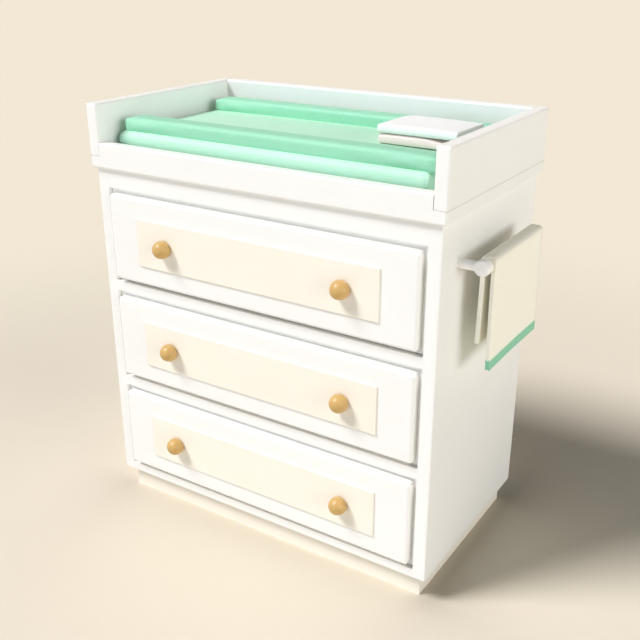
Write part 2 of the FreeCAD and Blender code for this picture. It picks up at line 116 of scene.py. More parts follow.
def mixColour(tree, factor, first, second):
    # each of the two is a socket or a display colour
    ends = [end if isinstance(end, bpy.types.NodeSocket) else toLinear(*end) for end in (first, second)]
    return addNode(tree, "Mix", {"data_type": "RGBA"}, {0: factor, 6: ends[0], 7: ends[1]}).outputs[2]


def noise(tree, vector, scale, detail=2.0, roughness=0.5, output=0):
    # output 0 is a value, 1 a colour
    values = {"Vector": vector, "Scale": scale, "Detail": detail, "Roughness": roughness}
    return addNode(tree, "TexNoise", None, values).outputs[output]


def patches(tree, vector, scale, detail, low, high, roughness=0.5):
    # noise spread out to 0 below one of its values and 1 above another
    return remap(tree, noise(tree, vector, scale, detail, roughness), low, high)


def stretched(tree, vector, scale, turn=(0.0, 0.0, 0.0), location=(0.0, 0.0, 0.0)):
    values = {"Vector": vector, "Scale": scale, "Rotation": turn, "Location": location}
    return addNode(tree, "Mapping", None, values).outputs[0]


def newGroup(name, inputs, outputs):
    # Inputs and outputs are {name: default}. Every group takes the place on the piece first.
    tree = bpy.data.node_groups.new(name, "ShaderNodeTree")
    for inOut, sockets in (("INPUT", {"Vector": (0.0, 0.0, 0.0), **inputs}), ("OUTPUT", outputs)):
        for key, default in sockets.items():
            kind = "NodeSocketVector" if isinstance(default, tuple) else "NodeSocketFloat"
            socket = tree.interface.new_socket(name=key, in_out=inOut, socket_type=kind)
            socket.default_value = default
    given = tree.nodes.new("NodeGroupInput").outputs
    return tree, given, given["Vector"]


def closeGroup(tree, **results):
    # the group's last step: each result goes to the output of its name
    out = tree.nodes.new("NodeGroupOutput").inputs
    for key, socket in results.items():
        tree.links.new(socket, out[key])
    return tree


def place(tree, group, vector, **values):
    return addNode(tree, "Group", {"node_tree": group}, {"Vector": vector, **values}).outputs


def makePaintSkin():
    # rolled lacquer: fine orange peel, a slow ripple and slow drifts of tone
    tree, given, spot = newGroup("paintSkin", {"Peel": 1.0, "Ripple": 1.0}, {"Tone": 0.5, "Height": 0.0})
    peel = times(tree, noise(tree, spot, 420.0), given["Peel"])
    height = times(tree, noise(tree, spot, 38.0), given["Ripple"], peel)
    drift = times(tree, noise(tree, spot, 3.2, 3.0), 0.65)
    tone = times(tree, noise(tree, spot, 17.0, 4.0, 0.6), 0.35, drift)
    return closeGroup(tree, Height=height, Tone=remap(tree, tone, 0.32, 0.68))


def makeEdgeWear():
    # where a rounded-off normal leaves the real one there is an edge, broken up by noise
    tree, given, spot = newGroup("edgeWear", {"Width": 0.002, "Breakup": 0.5}, {"Mask": 0.0})
    soft = addNode(tree, "Bevel", {"samples": 6}, {"Radius": given["Width"]}).outputs[0]
    real = addNode(tree, "NewGeometry").outputs["Normal"]
    turn = maths(tree, "SUBTRACT", 1.0, vectorMaths(tree, "DOT_PRODUCT", soft, real, 1))
    edge = remap(tree, turn, 0.004, 0.09)
    broken = times(tree, edge, patches(tree, spot, 55.0, 4.0, 0.42, 0.72, 0.65))
    whole = times(tree, edge, maths(tree, "SUBTRACT", 1.0, given["Breakup"]))
    return closeGroup(tree, Mask=times(tree, broken, given["Breakup"], whole))


def makeDust():
    # thin settled dust: on faces that look up, in soft patches
    tree, given, spot = newGroup("dust", {"Amount": 0.2}, {"Mask": 0.0})
    up = apart(tree, addNode(tree, "NewGeometry").outputs["Normal"])[2]
    level = maths(tree, "POWER", maths(tree, "MAXIMUM", up, 0.0), 3.0)
    patch = times(tree, patches(tree, spot, 9.0, 5.0, 0.4, 0.75, 0.6), given["Amount"])
    return closeGroup(tree, Mask=times(tree, level, patch))


def makeWoodGrain():
    # growth rings about the Z axis of the given vector, wandering with slow noise, and fibres along Z
    tree, given, spot = newGroup(
        "woodGrain", {"Spacing": 0.004, "Wander": 0.02, "Fibre": 900.0},
        {"Rings": 0.5, "Fibres": 0.5, "Height": 0.0},
    )
    bend = noise(tree, stretched(tree, spot, (1.0, 1.0, 0.18)), 7.0, output=1)
    shift = scaled(tree, vectorMaths(tree, "SUBTRACT", bend, (0.5, 0.5, 0.5)), given["Wander"])
    flat = stretched(tree, vectorMaths(tree, "ADD", spot, shift), (1.0, 1.0, 0.0))
    distance = vectorMaths(tree, "LENGTH", flat, output=1)
    ring = maths(tree, "FRACT", maths(tree, "DIVIDE", distance, given["Spacing"]))
    late = times(tree, remap(tree, ring, 0.15, 0.86), remap(tree, ring, 1.0, 0.86))
    fibre = noise(tree, stretched(tree, spot, (1.0, 1.0, 0.035)), given["Fibre"], 3.0, 0.6)
    height = times(tree, late, 0.25, remap(tree, fibre, 0.34, 0.46))
    return closeGroup(tree, Rings=late, Fibres=fibre, Height=height)


def makeWeave():
    # plain weave: where the cell count is even the thread along Y lies on top, elsewhere the one along X
    tree, given, spot = newGroup("weave", {"Thread": 0.0007, "Slub": 0.3}, {"Height": 0.0, "Tone": 0.5})
    slubX = noise(tree, stretched(tree, spot, (1.0, 0.06, 1.0)), 900.0)
    slubY = noise(tree, stretched(tree, spot, (0.06, 1.0, 1.0)), 900.0)
    uneven = times(tree, slubX, slubY)
    counts = [maths(tree, "DIVIDE", axis, given["Thread"]) for axis in apart(tree, spot)[:2]]
    cells = maths(tree, "ADD", *(maths(tree, "FLOOR", count) for count in counts))
    odd = maths(tree, "FLOORED_MODULO", cells, 2.0)
    parts = [maths(tree, "FRACT", count) for count in counts]
    humpX, humpY = (maths(tree, "SINE", times(tree, part, math.pi)) for part in parts)
    warp = times(tree, humpX, maths(tree, "POWER", humpY, 0.4))
    weft = times(tree, humpY, maths(tree, "POWER", humpX, 0.4))
    height = times(tree, uneven, given["Slub"], mix(tree, odd, warp, weft))
    return closeGroup(tree, Height=height, Tone=remap(tree, uneven, 0.12, 0.42))


def makeTerry():
    # loop pile: a rounded tuft in each cell, leaning with slow noise
    tree, given, spot = newGroup("terry", {"Loops": 700.0, "Crush": 0.4}, {"Height": 0.0, "Tone": 0.5})
    lean = scaled(tree, noise(tree, spot, 160.0, output=1), 0.0012)
    cell = {"Vector": vectorMaths(tree, "ADD", spot, lean), "Scale": given["Loops"]}
    tuft = addNode(tree, "TexVoronoi", {"feature": "SMOOTH_F1"}, cell).outputs[0]
    crushed = patches(tree, spot, 34.0, 3.0, 0.35, 0.7, 0.6)
    height = times(tree, crushed, given["Crush"], maths(tree, "SUBTRACT", 1.0, tuft))
    tone = times(tree, crushed, 0.2, remap(tree, tuft, 0.1, 0.75, 0.8, 0.3))
    return closeGroup(tree, Height=height, Tone=tone)


paintSkin, edgeWear, dust = makePaintSkin(), makeEdgeWear(), makeDust()
woodGrain, weave, terry = makeWoodGrain(), makeWeave(), makeTerry()
print("shared effects made:", len(bpy.data.node_groups))


def newMaterial(name, constants):
    # constants go straight onto the shader's own sockets
    material = bpy.data.materials.new(name)
    material.use_nodes = True
    tree = material.node_tree
    tree.nodes.clear()
    shader = addNode(tree, "BsdfPrincipled", None, constants)
    addNode(tree, "OutputMaterial", None, {"Surface": shader.outputs[0]})
    return material, tree, shader, addNode(tree, "TexCoord").outputs["Object"]


def finished(material, shader, colour, rough, height, depth):
    # links the colour, the roughness and a bump that is so many metres deep
    tree = material.node_tree
    bump = addNode(tree, "Bump", None, {"Height": height, "Distance": depth, "Strength": 1.0}).outputs[0]
    for key, socket in (("Base Color", colour), ("Roughness", rough), ("Normal", bump)):
        tree.links.new(socket, shader.inputs[key])
    return material


def flatPlace(tree, spot):
    # lays a 3-D place flat on whichever side of the piece the surface faces, for a weave without a UV map
    x, y, z = apart(tree, spot)
    normal = addNode(tree, "TexCoord").outputs["Normal"]
    facing = [maths(tree, "ABSOLUTE", axis) for axis in apart(tree, normal)]
    front = maths(tree, "GREATER_THAN", facing[1], facing[2])
    end = maths(tree, "GREATER_THAN", facing[0], 0.72)
    long = mixVector(tree, front, together(tree, x, y), together(tree, x, z))
    return mixVector(tree, end, long, together(tree, y, z))


def makePaint(name, paint):
    constants = {"Coat Weight": paint["coat"], "Coat Roughness": paint["coatRough"], "IOR": 1.48}
    material, tree, shader, spot = newMaterial(name, constants)
    skin = place(tree, paintSkin, spot, Peel=paint["peel"], Ripple=paint["ripple"])
    worn = place(tree, edgeWear, spot, Width=paint["wearWidth"], Breakup=0.7)["Mask"]
    settled = place(tree, dust, spot, Amount=paint["dust"])["Mask"]
    colour = mixColour(tree, skin["Tone"], paint["shade"], paint["colour"])
    colour = mixColour(tree, times(tree, worn, paint["wear"]), colour, paint["under"])
    colour = mixColour(tree, settled, colour, paint["dustColour"])
    rough = remap(tree, skin["Tone"], 0.0, 1.0, paint["rough"][1], paint["rough"][0])
    rough = times(tree, worn, 0.08, times(tree, settled, 0.3, rough))
    return finished(material, shader, colour, rough, skin["Height"], paint["bump"])


whitePaint = {
    "colour": (250, 249, 246), "shade": (247, 246, 242), "under": (240, 236, 226), "wear": 0.3,
    "wearWidth": 0.0025, "dustColour": (226, 222, 214), "dust": 0.10, "peel": 1.0, "ripple": 1.6,
    "coat": 0.12, "coatRough": 0.28, "rough": (0.36, 0.44), "bump": 0.00009,
}
creamPaint = dict(whitePaint, colour=(252, 246, 233), shade=(249, 242, 227), under=(238, 228, 208))
railPaint = dict(
    whitePaint, colour=(254, 252, 248), shade=(251, 249, 244), under=(226, 224, 218),
    peel=1.8, ripple=0.3, wearWidth=0.001, wear=0.18, dust=0.05, rough=(0.28, 0.36),
)
# the joint line's dark colour: partly the joint's own line, partly painted shade of the hairline crack
seamShadePaint = dict(whitePaint, colour=(206, 202, 190), shade=(198, 194, 182), wear=0.0)


def makeWood(name, wood):
    constants = {"Coat Weight": wood["coat"], "Coat Roughness": wood["coatRough"], "IOR": 1.5}
    material, tree, shader, spot = newMaterial(name, constants)
    turned = stretched(tree, spot, (1.0, 1.0, 1.0), wood["turn"], wood["pith"])
    sizes = {"Spacing": wood["spacing"], "Wander": wood["wander"], "Fibre": wood["fibre"]}
    grain = place(tree, woodGrain, turned, **sizes)
    colour = mixColour(tree, grain["Fibres"], wood["dark"], wood["colour"])
    colour = mixColour(tree, times(tree, grain["Rings"], wood["ringShare"]), colour, wood["ring"])
    patch = remap(tree, noise(tree, spot, wood["patchScale"], 3.0), 0.35, 0.7, 0.0, wood["patch"])
    colour = mixColour(tree, patch, colour, wood["ring"])
    worn = place(tree, edgeWear, spot, Width=0.0015, Breakup=0.6)["Mask"]
    colour = mixColour(tree, times(tree, worn, 0.25), colour, wood["colour"])
    rough = remap(tree, grain["Fibres"], 0.2, 0.8, wood["rough"][1], wood["rough"][0])
    return finished(material, shader, colour, rough, grain["Height"], wood["bump"])


knobWood = {
    "colour": (218, 182, 114), "dark": (200, 161, 91), "ring": (186, 143, 76), "ringShare": 0.5,
    "turn": (math.pi / 2, 0.0, 0.0), "pith": (0.013, 0.021, 0.0), "spacing": 0.0026, "wander": 0.012,
    "fibre": 1400.0, "patchScale": 40.0, "patch": 0.25, "coat": 0.25, "coatRough": 0.25,
    "rough": (0.36, 0.5), "bump": 0.00007,
}
boxWood = {
    "colour": (232, 208, 168), "dark": (219, 190, 146), "ring": (203, 168, 122), "ringShare": 0.4,
    "turn": (math.pi / 2, 0.0, 0.0), "pith": (0.05, 0.09, 0.0), "spacing": 0.009, "wander": 0.06,
    "fibre": 700.0, "patchScale": 6.0, "patch": 0.2, "coat": 0.1, "coatRough": 0.4,
    "rough": (0.46, 0.6), "bump": 0.0001,
}
crossWood = dict(boxWood, turn=(0.0, math.pi / 2, 0.0), pith=(0.03, 0.11, 0.0))


def makeSteel(name, steel):
    # drawn along Y: streaks that are long in Y and fine across it, with cloudy zinc tone
    material, tree, shader, spot = newMaterial(name, {"Metallic": 1.0})
    streak = noise(tree, stretched(tree, spot, (1.0, 0.02, 1.0)), 1600.0, 3.0, 0.6)
    cloud = patches(tree, spot, 60.0, 4.0, 0.3, 0.7, 0.6)
    worn = place(tree, edgeWear, spot, Width=0.0006, Breakup=0.4)["Mask"]
    colour = mixColour(tree, cloud, steel["dark"], steel["colour"])
    colour = mixColour(tree, times(tree, worn, 0.5), colour, steel["bright"])
    rough = times(tree, streak, 0.22, remap(tree, cloud, 0.0, 1.0, 0.24, 0.17))
    return finished(material, shader, colour, rough, streak, steel["bump"])


zincSteel = {"colour": (206, 208, 210), "dark": (176, 180, 184), "bright": (232, 233, 234), "bump": 0.00004}


def makeCover(name, cover):
    # close-woven wipeable cover: fine weave under a thin satin coating, with soft creases
    material, tree, shader, spot = newMaterial(name, {
        "Sheen Weight": 0.08, "Sheen Roughness": 0.4, "Coat Weight": 0.04, "Coat Roughness": 0.35,
        "IOR": 1.45,
    })
    cloth = place(tree, weave, flatPlace(tree, spot), Thread=cover["thread"], Slub=0.5)
    crease = noise(tree, stretched(tree, spot, (1.0, 2.2, 1.6)), 26.0, 3.0, 0.55)
    fading = times(tree, patches(tree, spot, 7.0, 3.0, 0.3, 0.7), 0.35)
    colour = mixColour(tree, cloth["Tone"], cover["dark"], cover["colour"])
    colour = mixColour(tree, fading, colour, cover["faded"])
    rough = remap(tree, cloth["Tone"], 0.0, 1.0, 0.62, 0.5)
    height = times(tree, crease, cover["crease"], cloth["Height"])
    return finished(material, shader, colour, rough, height, cover["bump"])


padCover = {
    "colour": (198, 245, 218), "dark": (188, 238, 209), "faded": (205, 248, 224),
    "thread": 0.0008, "crease": 6.0, "bump": 0.00005,
}
rollCover = dict(padCover, colour=(160, 225, 192), dark=(148, 216, 182), faded=(167, 229, 198))


def clothMaterial(name, sheen):
    # with the cloth's own UV map, which is laid out in metres
    constants = {"Sheen Weight": sheen, "Sheen Roughness": 0.5, "IOR": 1.4}
    material, tree, shader, spot = newMaterial(name, constants)
    return material, tree, shader, spot, addNode(tree, "UVMap", {"uv_map": "cloth"}).outputs[0]


def makeCotton(name, cotton):
    material, tree, shader, spot, flat = clothMaterial(name, 0.04)
    cloth = place(tree, weave, flat, Thread=cotton["thread"], Slub=0.8)
    fuzz = noise(tree, spot, 300.0, 3.0, 0.6)
    colour = mixColour(tree, cloth["Tone"], cotton["dark"], cotton["colour"])
    rough = remap(tree, fuzz, 0.3, 0.7, 0.78, 0.92)
    return finished(material, shader, colour, rough, times(tree, fuzz, 1.2, cloth["Height"]), cotton["bump"])


whiteCotton = {"colour": (255, 255, 252), "dark": (253, 252, 248), "thread": 0.0009, "bump": 0.00005}
pinkCotton = dict(whiteCotton, colour=(255, 236, 234), dark=(253, 229, 226))


def makeTowelling(name, towelling):
    # loop pile, and a flat woven band where the cloth's band attribute is 1
    material, tree, shader, spot, flat = clothMaterial(name, 0.05)
    pile = place(tree, terry, flat, Loops=towelling["loops"], Crush=0.15)
    woven = place(tree, weave, flat, Thread=0.0009, Slub=0.4)
    band = addNode(tree, "Attribute", {"attribute_name": "band"}).outputs["Fac"]
    pileColour = mixColour(tree, pile["Tone"], towelling["dark"], towelling["colour"])
    bandColour = mixColour(tree, woven["Tone"], towelling["bandDark"], towelling["band"])
    colour = mixColour(tree, band, pileColour, bandColour)
    rough = remap(tree, band, 0.0, 1.0, 0.92, 0.6)
    height = mix(tree, band, pile["Height"], times(tree, woven["Height"], 0.3))
    return finished(material, shader, colour, rough, height, towelling["bump"])


towelCloth = {
    "colour": (255, 252, 237), "dark": (251, 246, 228), "band": (150, 216, 184), "bandDark": (136, 204, 171),
    "loops": 620.0, "bump": 0.00012,
}


def makeThread(name, thread):
    material, tree, shader, spot = newMaterial(name, {"Sheen Weight": 0.3, "IOR": 1.45})
    twist = noise(tree, spot, 2600.0)
    colour = mixColour(tree, twist, thread["dark"], thread["colour"])
    return finished(material, shader, colour, remap(tree, twist, 0.3, 0.7, 0.55, 0.7), twist, thread["bump"])


seamThread = {"colour": (150, 214, 184), "dark": (128, 196, 164), "bump": 0.0001}

finishes = {
    "paint_white": makePaint("whitePaint", whitePaint),
    "paint_cream": makePaint("creamPaint", creamPaint),
    "rail_metal": makePaint("railPaint", railPaint),
    "drawer_wood": makeWood("boxWood", boxWood),
    "knob_wood": makeWood("knobWood", knobWood),
    "slide_steel": makeSteel("zincSteel", zincSteel),
    "pad_fabric": makeCover("padCover", padCover),
    "roll_fabric": makeCover("rollCover", rollCover),
    "cloth_white": makeCotton("whiteCotton", whiteCotton),
    "cloth_pink": makeCotton("pinkCotton", pinkCotton),
    "towel_fabric": makeTowelling("towelling", towelCloth),
}
crossGrain = makeWood("crossWood", crossWood)
# dark joint line material, its darkness partly painted shade of the hairline crack
jointShadeFill = makePaint("jointShadeFill", seamShadePaint)
mintThread = makeThread("mintThread", seamThread)

for subpart in frame["record"]["subparts"]:
    node = nodes[subpart["node"]]
    finish = finishes[subpart["material_slot"]]
    if subpart["node"].startswith(("box_back", "box_bottom")):
        finish = crossGrain
    for slot in node.material_slots:
        slot.material = finish
print("materials made:", len(finishes) + 3)


def gridFaces(rows, columns, wrapRows=False, wrapColumns=False):
    # quads between neighbours of a rows x columns grid of points
    row = np.arange(rows if wrapRows else rows - 1)
    column = np.arange(columns if wrapColumns else columns - 1)
    i, j = np.meshgrid(row, column, indexing="ij")
    nextI, nextJ = (i + 1) % rows, (j + 1) % columns
    corners = [i * columns + j, nextI * columns + j, nextI * columns + nextJ, i * columns + nextJ]
    return np.stack(corners, axis=-1).reshape(-1, 4)


def makePiece(name, points, faces, material, uv=None, attributes=None, merge=0.0):
    # points (n, 3) and faces (m, 4) to one smooth object; doubles are merged and normals turned outwards
    mesh = bpy.data.meshes.new(name)
    mesh.from_pydata(points.reshape(-1, 3).tolist(), [], faces.tolist())
    if uv is not None:
        layer = mesh.uv_layers.new(name="cloth")
        layer.data.foreach_set("uv", uv.reshape(-1, 2)[faces.ravel()].astype(np.float32).ravel())
    for key, values in (attributes or {}).items():
        layer = mesh.attributes.new(key, "FLOAT", "POINT")
        layer.data.foreach_set("value", values.astype(np.float32).ravel())
    work = bmesh.new()
    work.from_mesh(mesh)
    if merge:
        bmesh.ops.remove_doubles(work, verts=work.verts, dist=merge)
        bmesh.ops.dissolve_degenerate(work, edges=work.edges, dist=merge)
    bmesh.ops.recalc_face_normals(work, faces=work.faces)
    work.to_mesh(mesh)
    work.free()
    mesh.polygons.foreach_set("use_smooth", [True] * len(mesh.polygons))
    mesh.materials.append(material)
    piece = bpy.data.objects.new(name, mesh)
    bpy.context.scene.collection.objects.link(piece)
    return piece


def meshPoints(mesh):
    points = np.empty(len(mesh.vertices) * 3, np.float32)
    mesh.vertices.foreach_get("co", points)
    return points.reshape(-1, 3).astype(np.float64)


def setMeshPoints(mesh, points):
    mesh.vertices.foreach_set("co", points.astype(np.float32).ravel())
    mesh.update()


def applied(piece):
    # the piece's mesh with its modifiers worked in
    graph = bpy.context.evaluated_depsgraph_get()
    mesh = bpy.data.meshes.new_from_object(piece.evaluated_get(graph), depsgraph=graph)
    piece.modifiers.clear()
    piece.data = mesh
    return mesh


def smoothStep(low, high, value):
    share = np.clip((value - low) / (high - low), 0.0, 1.0)
    return share * share * (3.0 - 2.0 * share)


def unitVectors(vectors):
    # each vector over its own length
    return vectors / np.maximum(np.linalg.norm(vectors, axis=-1, keepdims=True), 1e-12)


def distances(line):
    # distance travelled from the line's start to each of its points
    return np.concatenate([[0.0], np.cumsum(np.linalg.norm(np.diff(line, axis=0), axis=1))])


def boxOf(node):
    # the node's low corner, high corner, middle and half size
    low, high = (np.array(corner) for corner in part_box(node))
    return low, high, (low + high) / 2, (high - low) / 2


def repeated(faces, count, each):
    # the same faces for each of several equal shapes, whose points follow one another
    return (faces[None] + np.arange(count)[:, None, None] * each).reshape(-1, 4)


def roundedSlab(halfX, halfY, corner, rims, across=64, down=34, quarter=8):
    # Rounded rectangles of growing inset, one for each (inset, height) of the rims:
    # each corner is a quarter circle, each side a straight run between two corners.
    inset, height = np.array(rims).T
    radius = np.maximum(corner - inset, 0.0004)
    innerX, innerY = np.maximum(halfX - inset, 0.0005) - radius, np.maximum(halfY - inset, 0.0005) - radius
    turn = np.linspace(0.0, math.pi / 2, quarter)
    runs = []
    for start, (signX, signY) in enumerate(((1, 1), (-1, 1), (-1, -1), (1, -1))):
        angle = turn + start * math.pi / 2
        x = signX * innerX[:, None] + radius[:, None] * np.cos(angle)
        y = signY * innerY[:, None] + radius[:, None] * np.sin(angle)
        runs.append(np.stack([x, y], axis=-1))
    outline = []
    for start, run in enumerate(runs):
        following = runs[(start + 1) % 4]
        share = np.linspace(0.0, 1.0, (across if start % 2 == 0 else down) + 2)[1:-1]
        side = run[:, -1:, :] * (1 - share[None, :, None]) + following[:, :1, :] * share[None, :, None]
        outline += [run, side]
    flat = np.concatenate(outline, axis=1)
    return np.concatenate([flat, np.broadcast_to(height[:, None, None], flat.shape[:2] + (1,))], axis=-1)


def slabRims(halfDepth, bottom, top, bottomRound, topRound, steps=6):
    # insets and heights from the middle of the underside, round both rims, to the middle of the top
    turn = np.linspace(0.0, math.pi / 2, steps)
    under = [(inset, bottom) for inset in np.linspace(halfDepth, bottomRound, 8)[:-1]]
    low = [(bottomRound * (1 - math.sin(a)), bottom + bottomRound * (1 - math.cos(a))) for a in turn]
    middle = [(0.0, z) for z in np.linspace(bottom + bottomRound, top - topRound, 4)[1:-1]]
    high = [(topRound * (1 - math.cos(a)), top - topRound * (1 - math.sin(a))) for a in turn]
    over = [(inset, top) for inset in np.linspace(topRound, halfDepth, 12)[1:]]
    return under + low + middle + high + over


def inflated(name, points, slot, spec):
    # even skin of voxels, blown up as cloth with no gravity, no point moving farther than the cap
    faces = gridFaces(*points.shape[:2], wrapColumns=True)
    piece = makePiece(name, points, faces, finishes[slot], merge=0.0006)
    remesh = piece.modifiers.new("skin", "REMESH")
    remesh.mode = "VOXEL"
    remesh.voxel_size = spec["voxel"]
    mesh = applied(piece)
    start = meshPoints(mesh)
    cloth = piece.modifiers.new("air", "CLOTH")
    cloth.settings.use_pressure = True
    cloth.settings.uniform_pressure_force = spec["pressure"]
    cloth.settings.effector_weights.gravity = 0.0
    cloth.settings.quality = 5
    cloth.point_cache.frame_start = 1
    cloth.point_cache.frame_end = spec["frames"]
    for step in range(1, spec["frames"] + 1):
        bpy.context.scene.frame_set(step)
    mesh = applied(piece)
    bpy.context.scene.frame_set(1)
    move = meshPoints(mesh) - start
    reach = np.maximum(np.linalg.norm(move, axis=1, keepdims=True), 1e-9)
    setMeshPoints(mesh, start + move * np.minimum(1.0, spec["cap"] / reach))
    division = piece.modifiers.new("finer", "SUBSURF")
    division.levels = division.render_levels = 1
    mesh = applied(piece)
    mesh.polygons.foreach_set("use_smooth", [True] * len(mesh.polygons))
    mesh.materials.clear()
    mesh.materials.append(finishes[slot])
    return piece, mesh


stitch = {
    "pitch": 0.0044, "length": 0.0034, "radius": 0.00042, "lift": 0.0001, "dive": 0.0004,
    "around": 6, "rings": 7, "ringOff": 0.02, "ringAcross": 200, "ringDown": 100,
}


def aroundPad(half, middle, level):
    # evenly spaced places on a ring outside the pad, each looking straight at the pad's side
    wide, deep, corner = half[0] + stitch["ringOff"], half[1] + stitch["ringOff"], pad["corner"]
    counts = {"across": stitch["ringAcross"], "down": stitch["ringDown"]}
    ring = roundedSlab(wide, deep, corner + stitch["ringOff"], [(0.0, 0.0)], **counts)[0]
    closed = np.concatenate([ring, ring[:1]])
    steps = distances(closed)
    spots = np.arange(0.0, steps[-1], stitch["pitch"])
    flat = np.stack([np.interp(spots, steps, closed[:, axis]) for axis in (0, 1)], axis=-1)
    inner = half[:2] - corner
    inward = np.pad(unitVectors(np.clip(flat, -inner, inner) - flat), ((0, 0), (0, 1)))
    return np.column_stack([flat + middle[:2], np.full(len(flat), level)]), inward


def stitchRow(name, mesh, starts, inward):
    # Rays find the cloth under each stitch. A stitch is a thin spindle along the row,
    # its ends drawn into the cloth by the square of the distance from its middle.
    work = bmesh.new()
    work.from_mesh(mesh)
    surface = BVHTree.FromBMesh(work)
    hits = [surface.ray_cast(tuple(start), tuple(way)) for start, way in zip(starts, inward)]
    work.free()
    places, normals = (np.array([hit[part] for hit in hits if hit[0] is not None]) for part in (0, 1))
    along = unitVectors(np.gradient(places, axis=0))
    side = np.cross(normals, along)
    u = np.linspace(0.0, math.pi, stitch["rings"])[:, None]
    v = np.linspace(0.0, 2 * math.pi, stitch["around"], endpoint=False)[None, :]
    reach = stitch["length"] / 2 * np.cos(u) * np.ones_like(v)
    up = stitch["radius"] * np.sin(u) * np.cos(v) + stitch["lift"] - stitch["dive"] * np.cos(u) ** 2
    out = stitch["radius"] * np.sin(u) * np.sin(v)
    pairs = ((reach, along), (up, normals), (out, side))
    points = places[:, None, None, :] + sum(np.einsum("ij,nk->nijk", grid, way) for grid, way in pairs)
    faces = gridFaces(stitch["rings"], stitch["around"], wrapColumns=True)
    faces = repeated(faces, len(places), stitch["rings"] * stitch["around"])
    piece = makePiece(name, points, faces, mintThread, merge=0.00001)
    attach(piece, "pad")


pad = {
    "shrink": 0.003, "inset": 0.001, "corner": 0.012, "bottomRound": 0.008, "topRound": 0.016,
    "crown": 0.003, "crownEdge": 0.024, "voxel": 0.0065, "pressure": 4.0, "frames": 20, "cap": 0.006,
    "clear": 0.0002, "bulge": 0.004, "seamHeight": 0.018, "seamPinch": 0.0016, "seamWidth": 0.005,
    "sideSeam": 0.014, "sidePinch": 0.0014, "sideWidth": 0.0035, "sideShare": (0.9, 0.97),
    "stitchFoot": 0.006, "stitchTop": 0.004, "rayFrom": 0.03,
}


def crownAt(flat, middle, reach):
    # the crown falls off in both directions as 1 less the square of the share of the reach
    u = np.clip((flat - middle[:2]) / reach, -1, 1)
    return pad["crown"] * (1 - u[..., 0] ** 2) * (1 - u[..., 1] ** 2)


def makePad():
    low, high, middle, whole = boxOf("pad_base")
    half = whole - pad["shrink"]
    top = high[2] - pad["crown"] - pad["inset"]
    rims = slabRims(half[1], low[2] + pad["inset"], top, pad["bottomRound"], pad["topRound"])
    points = roundedSlab(half[0], half[1], pad["corner"], rims)
    points[..., :2] += middle[:2]
    lifted = points[..., 2] > top - 0.002
    points[..., 2] += np.where(lifted, crownAt(points[..., :2], middle, half[:2]), 0.0)
    piece, mesh = inflated("changingPad", points, "pad_fabric", pad)
    points = meshPoints(mesh)
    flat = np.clip(points[:, :2] - middle[:2], -(half[:2] + pad["bulge"]), half[:2] + pad["bulge"])
    # the seam of the cover runs round the side, low down, and draws it in
    outward = np.max(np.abs(flat) / half[:2], axis=1)
    near = np.exp(-((points[:, 2] - low[2] - pad["seamHeight"]) / pad["seamWidth"]) ** 2)
    drawn = 1.0 - pad["seamPinch"] * near * smoothStep(*pad["sideShare"], outward) / half[1]
    flat = flat * drawn[:, None]
    # upright seams near both ends of the long sides
    fromEnd = half[0] - np.abs(flat[:, 0])
    upright = pad["sidePinch"] * np.exp(-((fromEnd - pad["sideSeam"]) / pad["sideWidth"]) ** 2)
    flat[:, 1] -= np.sign(flat[:, 1]) * upright * smoothStep(*pad["sideShare"], np.abs(flat[:, 1]) / half[1])
    points[:, :2] = middle[:2] + flat
    # the rolls and cloths lie on the crowned top, so nothing rises above it
    ceiling = high[2] - pad["crown"] + crownAt(points[:, :2], middle, whole[:2] - pad["crownEdge"])
    points[:, 2] = np.clip(points[:, 2], low[2] + pad["clear"], ceiling)
    setMeshPoints(mesh, points)
    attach(piece, "pad")
    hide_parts("pad_base")
    starts, inward = aroundPad(half, middle, low[2] + pad["seamHeight"])
    stitchRow("padStitches", mesh, starts, inward)
    for name, sign in (("padEndStitchesLeft", -1), ("padEndStitchesRight", 1)):
        z = np.arange(low[2] + pad["stitchFoot"], top - pad["stitchTop"], stitch["pitch"])
        x = np.full(len(z), middle[0] + sign * (half[0] - pad["sideSeam"]))
        starts = np.stack([x, np.full(len(z), low[1] - pad["rayFrom"]), z], axis=-1)
        stitchRow(name, mesh, starts, np.broadcast_to((0.0, 1.0, 0.0), starts.shape))


roll = {
    "shrink": 0.001, "longer": 0.012, "shorter": 0.007, "corner": 0.010, "round": 0.007, "foot": 0.002,
    "sink": 0.003, "inset": 0.0015, "voxel": 0.004, "pressure": 4.0, "frames": 16, "cap": 0.003,
    "seat": 0.006, "rise": 0.002, "capSeam": 0.010, "capPinch": 0.0010, "capWidth": 0.004, "rayFrom": 0.08,
}


